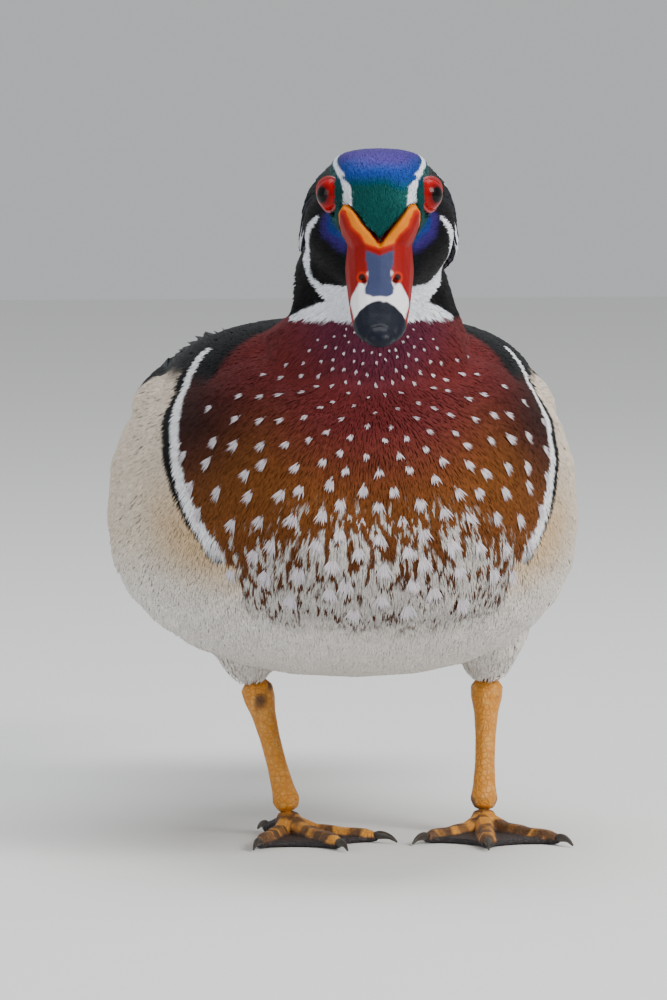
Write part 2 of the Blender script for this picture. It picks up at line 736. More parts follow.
# The neck is drawn in under the cheeks, a little slimmer than its solid
side_at, along_at, high_at = skin_at.T / MM
neck_half = np.interp(high_at, [154, 158, 163, 170, 182], [31, 25.5, 24, 23.5, 23.5])
beside = side_at - NECK_TURN * (along_at - EYE_LINE[1])
on_neck = (along_at < -86) & (high_at > 154) & (high_at < 182)
over = np.maximum(np.abs(beside) - neck_half, 0) * on_neck
skin_at[:, 0] -= np.sign(beside) * over * MM
place_points(skin_mesh, skin_at)
lay_colours(skin_mesh, *plumage(skin_at / MM))
skin_mesh.uv_layers.new(name="OFBake")
skin = finish_piece("skin", skin_mesh, FLESH, SKIN_FINISH)
unwrap(skin)
print("skin:", len(skin_mesh.polygons), "faces")

# %% [markdown]
# ## The coat of small feathers
# A bird's soft outline comes from thousands of small feathers that lie along its body. Each tuft here is a
# thin closed sliver of six faces: a root sunk in the skin, three points round its middle and a tip. The
# tufts are scattered by a seeded draw, point away from the bill and the breast's top as real ones do, and
# take one colour each. Their normals follow the skin, so the coat shades as one soft surface.

# %% Scatter and tufts
draw = np.random.default_rng(7)
BREAST_TOP = np.array([0, -160.6, 162])
BILL_BASE = np.array([0, -19, -7])
MOST_TUFTS = 30000
TUFT_FACES = np.array([(0, 1, 3), (0, 3, 2), (0, 2, 1), (4, 3, 1), (4, 2, 3), (4, 1, 2)])


def scatter(mesh, density):
    """Seeded places on a mesh in mm with normals and map places. density gives tufts per square mm."""
    mesh.calc_loop_triangles()
    count = len(mesh.loop_triangles)
    corners, loops = (read(mesh.loop_triangles, name, 3, np.int32) for name in ("vertices", "loops"))
    at, normals = points_of(mesh) / MM, normals_of(mesh)
    layer = read(mesh.uv_layers["OFBake"].data, "uv", 2)
    a, b, c = (at[corners[:, k]] for k in range(3))
    area = np.linalg.norm(np.cross(b - a, c - a), axis=1) / 2
    wanted = area * density((a + b + c) / 3)
    total = int(wanted.sum())
    chosen = np.searchsorted(np.cumsum(wanted), draw.random(total) * wanted.sum()).clip(0, count - 1)
    s, t = draw.random(total), draw.random(total)
    flip = s + t > 1
    s[flip], t[flip] = 1 - s[flip], 1 - t[flip]
    share = np.stack([1 - s - t, s, t], axis=1)[:, :, None]
    place = (at[corners[chosen]] * share).sum(axis=1)
    out = unit((normals[corners[chosen]] * share).sum(axis=1))
    return place, out, (layer[loops[chosen]] * share).sum(axis=1)


def lie_of(points, out):
    """The way that the feathers point: back from the bill on the head, down and back on the body."""
    away = points - BREAST_TOP
    back = away[:, 1] + 10
    flow = unit(np.stack([away[:, 0], back * (0.35 + 1.3 * ease(20, 110, back)), away[:, 2] - 12], axis=1))
    local = in_head(points)
    from_bill = unit(local - BILL_BASE) @ HEAD_AXES.T
    share = ease(1.15, 0.95, oval_reach(local, [0, 8, -10], [26, 36, 30]))[:, None]
    flow = blend(flow, from_bill, share)
    leg = (ease(62, 54, points[:, 2]) * ease(-90, -80, points[:, 1]) * ease(-20, -35, points[:, 1]))[:, None]
    flow = blend(flow, np.array([0, 0.25, -1.0]), leg * 0.8)
    return unit(flow - out * (flow * out).sum(axis=1, keepdims=True))


def mesh_from(name, points, faces):
    """A smooth mesh of triangles, straight from arrays of places in mm and of corners."""
    mesh = bpy.data.meshes.new(name)
    mesh.vertices.add(len(points))
    mesh.loops.add(faces.size)
    mesh.polygons.add(len(faces))
    mesh.vertices.foreach_set("co", (points * MM).astype(np.float32).ravel())
    mesh.loops.foreach_set("vertex_index", faces.astype(np.int32).ravel())
    mesh.polygons.foreach_set("loop_start", np.arange(len(faces), dtype=np.int32) * 3)
    mesh.update(calc_edges=True)
    mesh.polygons.foreach_set("use_smooth", [True] * len(faces))
    return mesh


def tufts(name, nodes, slot, place, out, maps, long, wide, lift=0.5, colours=None, gloss=None, spread=0.16,
          lie=None, peak=0.4, tint=0.1):
    """One closed sliver per place, all in one mesh, because there are tens of thousands."""
    count = len(place)
    lie = lie_of(place, out) if lie is None else lie
    across = np.cross(out, lie)
    sway = draw.normal(0, spread, count)[:, None]
    lie = unit(lie + across * sway)
    across = np.cross(out, lie)
    long, wide = np.broadcast_to(long, count)[:, None], np.broadcast_to(wide, count)[:, None]
    long = long * draw.uniform(0.8, 1.2, (count, 1))
    middle = place + lie * long * peak + out * lift * 0.55
    points = np.stack([
        place - out * 0.25,
        middle - across * wide / 2,
        middle + across * wide / 2,
        middle + out * wide * 0.3,
        place + lie * long + out * lift * draw.uniform(0.7, 1.15, (count, 1)),
    ], axis=1)
    if colours is None:
        colours, gloss = plumage(place + lie * long * 0.62)
    colours = colours * (1 + draw.normal(0, tint, (count, 1))).clip(0.6, 1.5)
    faces = (np.arange(count)[:, None, None] * 5 + TUFT_FACES).reshape(-1, 3)
    mesh = mesh_from(name, points.reshape(-1, 3), faces)
    lay_colours(mesh, np.repeat(colours, 5, axis=0), np.repeat(np.broadcast_to(gloss, count), 5))
    patch = np.array([(0, 0), (-0.0015, 0.0008), (0.0015, 0.0008), (0, 0.001), (0, 0.0022)])
    corner_map = (maps[:, None, :] + patch[None]).reshape(-1, 2)[faces.ravel()].clip(0.001, 0.999)
    mesh.uv_layers.new(name="OFBake").data.foreach_set("uv", corner_map.astype(np.float32).ravel())
    own = np.stack([-across * 0, -across, across, out, lie * 0.3], axis=1) * 0.45
    soft = unit(out[:, None, :] + own + draw.normal(0, 0.06, (count, 1, 3)))
    mesh.normals_split_custom_set_from_vertices(soft.reshape(-1, 3).astype(np.float32))
    return finish_piece(name, mesh, nodes, COAT_FINISH)


def tuft_batches(name, nodes, slot, places, long, wide, **ways):
    """The same, parted into pieces of fewer than 200,000 triangles."""
    place, out, maps = places
    for k in range(0, len(place), MOST_TUFTS):
        part = slice(k, k + MOST_TUFTS)
        sizes = [v if np.isscalar(v) else v[part] for v in (long, wide)]
        tufts(f"{name}_{k // MOST_TUFTS}", nodes, slot, place[part], out[part], maps[part], *sizes, **ways)


# %% Coat of the head and neck


def on_head(points):
    local = in_head(points)
    near = oval_reach(local, [0, 8, -12], [27, 38, 30]) < 1
    return near & (points[:, 2] > 158)


def clear_of_eyes(points, room):
    return np.linalg.norm(in_half_head(points) - EYE_PLACE, axis=1) > room


def head_density(points):
    keep = on_head(points) & clear_of_eyes(points, EYE_BALL + 0.5)
    hidden = (in_head(points)[:, 1] > 16) | (points[:, 1] > -112)
    return keep * np.where(hidden, 1.4, 5.6)


places = scatter(skin_mesh, head_density)
face_near = ease(-6, -14, in_head(places[0])[:, 1])
tuft_batches("coat_head", FLESH, "head", places, 1.9 - 0.5 * face_near, 0.34 - 0.05 * face_near, lift=0.38)
print("head tufts:", len(places[0]))

# %% Coat of the body
REAR_FROM = -88


def breast_density(points):
    front = points[:, 1] < REAR_FROM
    return (~on_head(points) & front) * 2.6


places = scatter(skin_mesh, breast_density)
tuft_batches("coat_breast", FLESH, "breast", places, 3.4, 0.5, lift=0.5, spread=0.12)
print("breast tufts:", len(places[0]))


def rear_density(points):
    return (~on_head(points) & (points[:, 1] >= REAR_FROM)) * 0.75


places = scatter(skin_mesh, rear_density)
leg_near = ease(60, 52, places[0][:, 2])
tuft_batches("coat_body", FLESH, "white", places, 7.0 - 4.0 * leg_near, 1.1 - 0.4 * leg_near,
             lift=0.7, spread=0.12)
print("body tufts:", len(places[0]))

# %% [markdown]
# ## White arrowheads on the breast
# The breast carries rows of white marks that point up to the throat and grow down the body. Each is a real
# feather's white tip, so each is a small fan of white barbs. The rows are staggered, as the feathers are.

# %% Breast marks
RAY_START = -0.4
MARK_SPACING = 0.2
skin_tree = BVHTree.FromPolygons([tuple(v) for v in points_of(skin_mesh)],
                                 [tuple(p.vertices) for p in skin_mesh.polygons])


def onto_skin(x, z):
    """The place and normal where a line from straight ahead meets the skin, in mm."""
    place, out, face, _ = skin_tree.ray_cast(Vector((x * MM, RAY_START, z * MM)), Vector((0, 1, 0)))
    if place is None:
        return None, None, None
    corner = skin_mesh.polygons[face].loop_start
    return np.array(place) / MM, np.array(out), np.array(skin_mesh.uv_layers["OFBake"].data[corner].uv)


roots, outs, maps, lies, sizes, tones = [], [], [], [], [], []
reach = 9.0
row = 0
while reach < 84:
    turns = np.arange(-6, 7) * MARK_SPACING + (row % 2) * MARK_SPACING / 2
    for turn in turns:
        turn += draw.normal(0, 0.018)
        far = reach + draw.normal(0, 0.5)
        fade = float(ease(1.2, 0.75, abs(turn)))
        if fade < 0.12 or draw.random() > 0.6 + fade:
            continue
        x, z = far * math.sin(turn), 162 - far * math.cos(turn)
        place, out, spot_map = onto_skin(x, z)
        if place is None or place[1] > -95:
            continue
        spot = np.array([[abs(x), place[1] - BREAST_FRONT, z]])
        gap, behind, at = near_line(spot, SHOULDER_BAR, BAR_BEHIND)
        if gap[0] < 5 or (spot - at)[0] @ behind[0] > 0 or z < 74 + 0.3 * abs(x):
            continue
        tall = float(np.interp(far, [9, 25, 40, 52, 84], [0.85, 2.1, 3.8, 5.2, 7.0])) * (0.55 + 0.45 * fade)
        broad = float(np.interp(far, [9, 25, 40, 52, 84], [0.6, 1.3, 2.5, 4.2, 6.0])) * (0.55 + 0.45 * fade)
        lie = lie_of(place[None], out[None])[0]
        across = np.cross(out, lie)
        barbs = max(4, int(broad * 4.2))
        for k in range(barbs):
            lean = (k + 0.5) / barbs - 0.5
            roots.append(place + out * 0.25)
            outs.append(out)
            maps.append(spot_map)
            lies.append(unit(lie * tall + across * (lean * broad * 1.2 + draw.normal(0, 0.05))))
            sizes.append((tall * (1 - 0.25 * abs(lean) + draw.normal(0, 0.05)), 0.24 + 0.02 * broad))
            tones.append(0.86 + draw.normal(0, 0.07) - 0.1 * (far > 45) * draw.random())
    reach += float(np.interp(reach, [9, 40, 66], [2.8, 4.3, 4.4]))
    row += 1
roots, outs, maps, lies, sizes, tones = (np.array(v) for v in (roots, outs, maps, lies, sizes, tones))
mark_colours = paint(216, 208, 215) * tones[:, None]
tufts("breast_marks", [], "white", roots, outs, maps, sizes[:, 0], sizes[:, 1],
      lift=0.75, colours=mark_colours, gloss=0.1, spread=0.01, lie=lies, peak=0.72, tint=0.04)
print("white barbs:", len(roots))

# %% [markdown]
# ## Eyes
# The eye is a ball turned a little forward. The red iris, its dark rim and the pupil are rings round the
# ball's own axis, so they are painted by angle on a fine mesh and covered by a clear glossy coat. A ring
# spun round the same axis makes the two lids, with their edge of bare red skin.

# %% Eyes and lids
eye_finish = Finish("eye", roughness=0.25, coat_weight=0.12, coat_roughness=0.05, specular_ior_level=0.1)
fleck = eye_finish.noise(1800, 2)
eye_finish.set({"Base Color": eye_finish.grained(0.4, (0.6, 0.6, 0.6), fleck, (1.3, 1.3, 1.3))})
lid_finish = Finish("lid", roughness=0.38, specular_ior_level=0.6)
pore = lid_finish.noise(2500, 2)
lid_finish.set({"Base Color": lid_finish.shade(paint(110, 6, 10), pore, paint(165, 24, 26)),
                "Normal": lid_finish.bump(pore, 0.3, 0.0002)})
PUPIL = math.radians(25)
IRIS = math.radians(66)
IRIS_RED = paint(160, 2, 8)
IRIS_DEEP = paint(80, 2, 6)
RIM = paint(28, 6, 8)


def axis_turn(axis):
    return Vector((0, 0, 1)).rotation_difference(Vector(axis)).to_matrix().to_4x4()


for side_name, sign in (("left", 1), ("right", -1)):
    flip = np.array([sign, 1, 1])
    axis = HEAD_AXES @ (EYE_FACE * flip)
    middle = from_head(EYE_PLACE * flip)
    place_eye = Matrix.Translation(Vector(middle * MM)) @ axis_turn(axis)
    ball = bmesh.new()
    bmesh.ops.create_uvsphere(ball, u_segments=96, v_segments=64, radius=EYE_BALL * MM)
    for vert in ball.verts:
        bulge = max(vert.co.z / (EYE_BALL * MM) - 0.6, 0)
        vert.co *= 1 + 0.12 * bulge
    bmesh.ops.transform(ball, matrix=place_eye, verts=ball.verts)
    eye_mesh = mesh_of(f"eyeball_{side_name}", ball)
    off = unit(points_of(eye_mesh) / MM - middle)
    angle = np.arccos((off @ axis).clip(-1, 1))
    ring = cover(IRIS_RED, IRIS_DEEP, ease(PUPIL + 0.35, PUPIL + 0.05, angle) * 0.75)
    ring = cover(ring, RIM, ease(IRIS, IRIS + 0.1, angle))
    ring = cover(ring, paint(4, 4, 5), ease(PUPIL + 0.03, PUPIL - 0.02, angle))
    lay_colours(eye_mesh, ring, np.ones(len(ring)))
    finish_piece(f"eyeball_{side_name}", eye_mesh, [f"eye_{side_name}"], eye_finish.material)

    lids = bmesh.new()
    bmesh.ops.create_circle(lids, segments=12, radius=0.62 * MM)
    ring_place = Matrix.Translation((4.75 * MM, 0, 2.3 * MM)) @ Matrix.Rotation(math.radians(90), 4, "X")
    bmesh.ops.transform(lids, matrix=ring_place, verts=lids.verts)
    bmesh.ops.spin(lids, geom=lids.verts[:] + lids.edges[:], cent=(0, 0, 0), axis=(0, 0, 1),
                   angle=2 * math.pi, steps=64, use_merge=True)
    for vert in lids.verts:
        vert.co.z -= 0.55 * MM * math.cos(2 * math.atan2(vert.co.y, vert.co.x))
    bmesh.ops.recalc_face_normals(lids, faces=lids.faces)
    bmesh.ops.transform(lids, matrix=place_eye, verts=lids.verts)
    lid_mesh = mesh_of(f"lids_{side_name}", lids)
    finish_piece(f"lids_{side_name}", lid_mesh, [], lid_finish.material)
print("eyes and lids made")

# %% [markdown]
# ## The bill
# The bill is horn over bone, brightly coloured and slightly waxy: a yellow-orange edge where it meets the
# feathers, red sides, a blue-grey plate on top between the nostrils, a white band and a dark hooked nail.
# A copy of each CAD half is remeshed finely, and the colours are painted on it in the head's frame.

# %% Bill paint
BILL_EDGE = np.array([(9.9, -10.9, 5.9), (7.7, -13.4, 5.7), (6.1, -16.9, 1.8), (4, -18.1, -0.7),
                      (3.2, -19.1, -2.9), (0, -20.2, -4.6)])
BILL_EDGE_WIDE = np.array([3.2, 2.8, 2.3, 1.7, 1.3, 1.1])
BILL_YELLOW = paint(214, 118, 0)
BILL_ORANGE = paint(180, 36, 0)
BILL_RED = paint(132, 4, 2)
BILL_ROSE = paint(150, 16, 10)
PLATE_BLUE = paint(58, 66, 100)
BILL_WHITE = paint(238, 232, 236)
NAIL_DARK = paint(20, 23, 34)
NOSTRIL_PLACE = np.array([4.9, -25.6, -11.6])


def bill_paint(points):
    here = in_half_head(points)
    x, y, z = here.T
    ahead_by = -y
    wander = 0.5 * (mottle(points, 1.1) - 0.5)
    far, wide, _ = near_line(here, BILL_EDGE, BILL_EDGE_WIDE)
    edge = far / wide[:, 0]
    colour = cover(BILL_RED, BILL_ROSE, 0.3 * mottle(points, 4, 5))
    colour = cover(colour, BILL_ORANGE, ease(1.75, 1.1, edge))
    colour = cover(colour, BILL_YELLOW, ease(1.12, 0.9, edge + wander * 0.3))
    back_edge = ease(12.2, 11.5, ahead_by + 0.05 * np.maximum(-z, 0))
    colour = cover(colour, BILL_YELLOW, back_edge)
    white = ease(25.4, 26.4, ahead_by + wander - 0.5 * (x - 4)) * ease(-19.4, -18.2, z + wander)
    colour = cover(colour, BILL_WHITE, white)
    half = np.interp(ahead_by,
                     [20.8, 21.4, 23, 25.6, 27.4, 29.4, 31, 32.4],
                     [3.2, 4.1, 3.9, 3.3, 3.5, 4.3, 4.0, 2.2])
    top = 22.9 - 0.42 * x
    plate = ease(0.25, -0.25, x - half + wander) * ease(-0.2, 0.2, ahead_by - top)
    plate = plate * ease(32.7, 32.2, ahead_by) * (z > -19)
    colour = cover(colour, PLATE_BLUE * 0.9, plate)
    ring = np.linalg.norm((here - NOSTRIL_PLACE) / [1.9, 1.9, 1.6], axis=1)
    colour = cover(colour, BILL_ORANGE, ease(1.15, 0.9, ring))
    colour = cover(colour, paint(40, 12, 10), ease(0.72, 0.55, ring))
    nail = ease(-0.3, 0.3, ahead_by - (34 + 0.055 * x * x) + wander)
    colour = cover(colour, NAIL_DARK, nail)
    colour = cover(colour, paint(24, 24, 30), ease(-21.4, -22, z) * ease(26, 29, ahead_by))
    return colour, 0.55 + 0.35 * nail


bill_finish = Finish("bill horn", specular_ior_level=0.15)
gloss = bill_finish.measured("gloss")
grain = bill_finish.noise(420, 3, stretch=(1, 0.35, 1))
pits = bill_finish.noise(2200, 2)
bill_finish.set({
    "Base Color": bill_finish.grained(0.5, (0.72, 0.72, 0.72), grain, (1.2, 1.2, 1.2)),
    "Roughness": 0.62 - 0.34 * gloss + 0.1 * pits,
    "Normal": bill_finish.bump(grain + 0.4 * pits, 0.35, 0.0004),
})


def smooth_copy(name, nodes, voxel, smooth_steps, painter, slot, finish, grow=0.0):
    """A finely remeshed copy of CAD nodes, painted point by point, which replaces them."""
    mesh = remeshed(name, copy_of(*nodes, grow=grow), voxel, smooth_steps)
    if slot in ("bill", "jaw"):
        local = in_head(points_of(mesh) / MM)
        local[:, 0] *= np.interp(-local[:, 1], [13, 20, 34, 44], [1, 0.95, 0.87, 0.92])
        place_points(mesh, from_head(local) * MM)
    # No point goes under the soles' level
    place_points(mesh, np.maximum(points_of(mesh), [-1, -1, 0]))
    lay_colours(mesh, *painter(points_of(mesh) / MM))
    finish_piece(name, mesh, nodes, finish)
    print(name, len(mesh.polygons), "faces")


def jaw_paint(points):
    here = in_head(points)
    rosy = ease(-22, -16, here[:, 1]) * 0.7
    return cover(paint(30, 28, 34), BILL_RED, rosy), np.full(len(here), 0.6)


smooth_copy("bill", ["bill_upper"], 0.42 * MM, 5, bill_paint, "bill", bill_finish.material, 0.25 * MM)
smooth_copy("jaw", ["bill_lower"], 0.5 * MM, 4, jaw_paint, "jaw", bill_finish.material, 0.15 * MM)

# %% [markdown]
# ## Legs, feet and claws
# A duck's leg is bare and scaly: square plates down the shin, smaller scales on the toes, and dark webs
# that fold between them. The yellow is broken by dark smudges at the joints. Copies of the CAD forms are
# remeshed and painted, and cell noise gives the scales as a bump.

# %% Leg paint
OCHRE = paint(204, 132, 34)
OCHRE_PALE = paint(222, 164, 82)
LEG_DARK = paint(58, 40, 32)
WEB_DARK = paint(40, 34, 36)
# Where each foot stands and its heading in degrees, then each toe's turn from it and its length
STANCE = {1: ((41, -51.8), 4), -1: ((-17, -51.8), 16)}
TOES = ((34, 34), (0, 44), (-34, 40))


def leg_paint(points):
    blot = mottle(points, 5, 2)
    fine = mottle(points, 1.6, 4)
    z = points[:, 2]
    colour = cover(OCHRE, OCHRE_PALE, ease(0.45, 0.8, fine) * 0.4)
    knee = ease(0.56, 0.72, blot) * ease(30, 40, z)
    low = ease(0.5, 0.66, blot) * ease(17, 9, z)
    colour = cover(colour, LEG_DARK, np.maximum(knee, low) * 0.85)
    return colour, 0.45 + 0.2 * fine


def foot_paint(points):
    sign = 1 if points[:, 0].mean() > 10 else -1
    foot, foot_heading = STANCE[sign]
    colour, gloss = leg_paint(points)
    colour = np.broadcast_to(WEB_DARK, points.shape).copy()
    flat = points[:, :2] - foot
    for turn, length in TOES:
        heading = math.radians(-sign * (foot_heading + turn))
        way = np.array([math.sin(heading), -math.cos(heading)])
        along = flat @ way
        off = np.abs(flat @ np.array([-way[1], way[0]]))
        on_toe = ease(3.1, 2.2, off) * (along > -3) * ease(1.2, 2.4, points[:, 2])
        joints = sum(ease(3.4, 1.6, np.abs(along - length * share)) for share in (0.0, 0.42, 0.74, 1.0))
        blot = mottle(points, 3.2, 6 + turn)
        dark = np.clip(joints * 0.8 + ease(0.45, 0.7, blot), 0, 1)
        tone = cover(OCHRE, OCHRE_PALE, mottle(points, 1.5) * 0.5)
        tone = cover(tone, LEG_DARK, dark * 0.88)
        colour = cover(colour, tone, on_toe)
    top = ease(5.5, 8, points[:, 2])
    ankle = cover(OCHRE, LEG_DARK, ease(0.4, 0.6, mottle(points, 3)))
    colour = cover(colour, ankle, top * 0.7)
    return colour, np.full(len(points), 0.5)


leg_finish = Finish("scaly leg", specular_ior_level=0.45)
gloss = leg_finish.measured("gloss")
cells = leg_finish.add("ShaderNodeTexVoronoi", {"feature": "DISTANCE_TO_EDGE"},
                       {"Vector": leg_finish.object_place(), "Scale": 620, "Randomness": 0.75}, "Distance")
plates = leg_finish.add("ShaderNodeMath", {"operation": "MINIMUM"}, {0: cells * 6.0, 1: 1.0})
grime = leg_finish.noise(900, 3)
leg_finish.set({
    "Base Color": leg_finish.grained(0.55, (0.7, 0.62, 0.55), plates, (1.08, 1.08, 1.08)),
    "Roughness": 0.66 - 0.3 * gloss + 0.12 * grime,
    "Normal": leg_finish.bump(plates + 0.3 * grime, 0.55, 0.0003),
})
claw_finish = Finish("claw horn", roughness=0.4, specular_ior_level=0.5)
streaks = claw_finish.noise(700, 3, stretch=(1, 0.3, 1))
claw_finish.set({
    "Base Color": claw_finish.shade(paint(26, 23, 22), streaks, paint(74, 64, 56)),
    "Normal": claw_finish.bump(streaks, 0.3, 0.0002),
})
for side_name in ("left", "right"):
    smooth_copy(f"shin_{side_name}", [f"tarsus_{side_name}"], 0.45 * MM, 5, leg_paint, "flesh",
                leg_finish.material, 0.3 * MM)
    smooth_copy(f"toes_{side_name}", [f"foot_{side_name}"], 0.42 * MM, 4, foot_paint, "flesh",
                leg_finish.material, 0.25 * MM)
    for toe in ("inner", "middle", "outer", "hind"):
        node = f"claw_{toe}_{side_name}"
        shape = copy_of(node)
        bmesh.ops.subdivide_edges(shape, edges=shape.edges, cuts=2, use_grid_fill=True, smooth=0.6)
        mesh = mesh_of(f"hook_{toe}_{side_name}", shape)
        finish_piece(f"hook_{toe}_{side_name}", mesh, [node], claw_finish.material)

# %% [markdown]
# ## Long feathers
# Wings, tail, crest and back need real feathers: a shaft down the middle, a thin vane on each side and a
# rounded tip. A feather is laid on a form by its place along and round it. `feathers` joins many of them in
# one mesh, each a closed thin shell.

# %% [markdown]
# The vane finish draws the barbs: fine parallel lines that slant from the shaft. They follow the feather's
# own map, whose unit is the millimetre, so every feather has barbs of the same size.

# %% Vane finish and the builder of feathers
vane_finish = Finish("feather vane", specular_ior_level=0.2)
vane_map = vane_finish.add("ShaderNodeUVMap", {"uv_map": "Vane"}, {}, "UV")
parts = vane_finish.tree.nodes.new("ShaderNodeSeparateXYZ")
put(vane_finish.tree, parts.inputs[0], vane_map)
across_mm, along_mm = (Value(vane_finish.tree, parts.outputs[k]) for k in (0, 1))
barbs = ((along_mm - across_mm.size() * 1.3) * 9.0).wave()
gloss = vane_finish.measured("gloss")
ripple = vane_finish.noise(600, 2)
vane_finish.set({
    "Base Color": vane_finish.grained(0.5 + 0.2 * barbs, (0.62, 0.62, 0.62), ripple, (1.3, 1.3, 1.3)),
    "Roughness": 0.72 - 0.36 * gloss,
    "Metallic": 0.4 * gloss,
    "Normal": vane_finish.bump(barbs + ripple, 0.35, 0.00025),
})
FACES_PROBED = 200
SECTION = np.array([(-1, 0), (-0.55, 0.8), (0, 1.5), (0.55, 0.8), (1, 0), (0, -0.5)])


def round_tip(s):
    return (0.5 + 0.5 * np.sin(np.pi * np.minimum(s * 1.2, 0.5))) * np.sqrt(
        np.maximum(1 - (np.maximum(s - 0.74, 0) / 0.265) ** 2, 0.012))


def point_tip(s):
    return (0.55 + 0.45 * np.sin(np.pi * np.minimum(s * 1.4, 0.5))) * np.maximum(
        1 - (np.maximum(s - 0.4, 0) / 0.61) ** 1.7, 0.05)


def feathers(name, nodes, lines, outs, widths, colours, gloss, thick=0.22):
    """Closed thin feathers. lines and outs are (feather, step, 3) in mm, widths (feather, step) and colours
    (feather, step, 6, 3), one for each point of the section, from edge to edge and under."""
    count, steps = lines.shape[:2]
    along = unit(np.gradient(lines, axis=1))
    across = unit(np.cross(outs, along))
    up = unit(np.cross(along, across))
    ring = SECTION[None, None]
    points = (lines[:, :, None] + across[:, :, None] * (widths[..., None] / 2 * ring[..., 0])[..., None]
              + up[:, :, None] * (thick * ring[..., 1])[..., None])
    index = np.arange(count * steps * 6).reshape(count, steps, 6)
    a, b = index[:, :-1], index[:, 1:]
    a2, b2 = np.roll(a, -1, axis=2), np.roll(b, -1, axis=2)
    sides = np.concatenate([np.stack(three, -1).reshape(-1, 3) for three in ((a, a2, b2), (a, b2, b))])
    caps = [np.stack([ring_at[:, 0], ring_at[:, k + 1], ring_at[:, k]][::turned], -1)
            for ring_at, turned in ((index[:, 0], 1), (index[:, -1], -1)) for k in range(1, 5)]
    faces = np.concatenate([sides, *caps])
    probe = points.reshape(-1, 3)
    a, b, c = (probe[sides[:FACES_PROBED, k]] for k in range(3))
    facing = np.einsum("ij,ij->i", np.cross(b - a, c - a), (a + b + c) / 3
                       - np.repeat(lines.reshape(-1, 3), 6, axis=0)[sides[:FACES_PROBED, 0]]).sum()
    faces = faces if facing > 0 else faces[:, ::-1]
    mesh = mesh_from(name, probe, faces)
    step_long = np.linalg.norm(np.diff(lines, axis=1), axis=2).cumsum(axis=1)
    run = np.concatenate([np.zeros((count, 1)), step_long], axis=1)
    run = np.broadcast_to(run[..., None], index.shape)
    flat = np.stack([widths[..., None] / 2 * SECTION[:, 0], run], -1)
    mesh.uv_layers.new(name="Vane").data.foreach_set(
        "uv", flat.reshape(-1, 2)[faces.ravel()].astype(np.float32).ravel())
    tones = np.broadcast_to(colours, (count, steps, 6, 3)).reshape(-1, 3)
    shine = np.broadcast_to(np.asarray(gloss, dtype=float), (count, steps, 6)).reshape(-1)
    lay_colours(mesh, tones, shine)
    print(name, count, "feathers,", len(faces), "triangles")
    return finish_piece(name, mesh, nodes, vane_finish.material)


def laid(form, t, angle, reach, swing, sunk, lift, steps=9):
    """Lines and normals of feathers on a form, from t and angle, with roots sunk and tips lifted, in mm."""
    s = np.linspace(0, 1, steps)[None]
    t_at = np.minimum(t[:, None] + reach[:, None] * s, 0.985)
    angle_at = angle[:, None] + swing[:, None] * s
    place = form.point(t_at, angle_at)
    outs = unit(form.point(t_at, angle_at, 1.0) - place)
    rise = -sunk + (lift + sunk) * s ** 0.7
    return place + outs * rise[..., None], outs


def mirrored(values):
    return np.concatenate([values, values * [-1, 1, 1]])


def rows_on(tiers):
    """Places of feathers in staggered rows. A tier is t, reach, count, lowest and highest angle, width."""
    found = []
    for k, (t, reach, count, low, high, width) in enumerate(tiers):
        spread = (np.arange(count) + 0.25 + 0.5 * (k % 2)) / count
        angle = np.radians(low + (high - low) * spread)
        found.append(np.stack([
            t + draw.normal(0, 0.004, count),
            reach * draw.uniform(0.93, 1.07, count),
            angle,
            width * draw.uniform(0.93, 1.07, count),
        ], axis=1))
    return np.concatenate(found)


def tip_bands(count, steps, base, bands):
    """Colours along feathers: a base, then bands from one share of the length to another."""
    tones = np.broadcast_to(base, (count, steps, 6, 3)).copy()
    s = np.linspace(0, 1, steps)
    for start, end, tone in bands:
        tones[:, (s >= start) & (s <= end)] = tone
    return tones


def pad_piece(name, form, grow, node, tone, gloss, mirror=False):
    """A pad of one tone, which takes the place of a node under its feathers."""
    pad = under_form(name, form, grow, mirror)
    count = len(pad.vertices)
    lay_colours(pad, np.broadcast_to(tone, (count, 3)), np.full(count, gloss))
    finish_piece(name, pad, [node], SKIN_FINISH)


def on_both_wings(name, lines, outs, width, tones, gloss):
    """Feathers laid on the left wing, and mirrored on the right one."""
    widths = width[:, None] * round_tip(np.linspace(0, 1, lines.shape[1]))
    feathers(name, ["wing_left", "wing_right"], mirrored(lines), mirrored(outs),
             np.tile(widths, (2, 1)), np.tile(tones, (2, 1, 1, 1)), gloss)


# %% [markdown]
# ## Wings
# Folded, a wing shows its rows of coverts, then the long feathers with their blue gloss and, lowest, the
# silver-edged tips. The pad under them is the wing's own form. The cream feathers of the flank come up over
# its lower edge, so only the upper part of the wing is dark.

# %% Wings and flanks
WING_BRONZE = paint(26, 31, 30)
WING_BLUE = paint(14, 40, 84)
WING_BLACK = paint(11, 12, 15)
SILVER = paint(170, 176, 184)
DARK_TIERS = [(0.25 + 0.04 * k, 0.12, 8, -12 - 3 * k, 46 + 8 * k, 9) for k in range(2)]
DARK_TIERS += [(0.33, 0.17, 8, -20, 62, 11), (0.4, 0.2, 8, -26, 78, 13), (0.47, 0.24, 7, -34, 84, 14)]
FLIGHT_TIERS = [(0.53, 0.28, 7, -50, 80, 14), (0.6, 0.3, 6, -50, 74, 13), (0.68, 0.29, 5, -44, 66, 9.5)]
EDGE_TIERS = [(0.2 + 0.06 * k, 0.17, 10, -100, 22 - 9 * k, 15) for k in range(6)]


for side_name, mirror in (("left", False), ("right", True)):
    pad_piece(f"wing_pad_{side_name}", wing_form, -0.4, f"wing_{side_name}", WING_BLACK, 0.4, mirror)

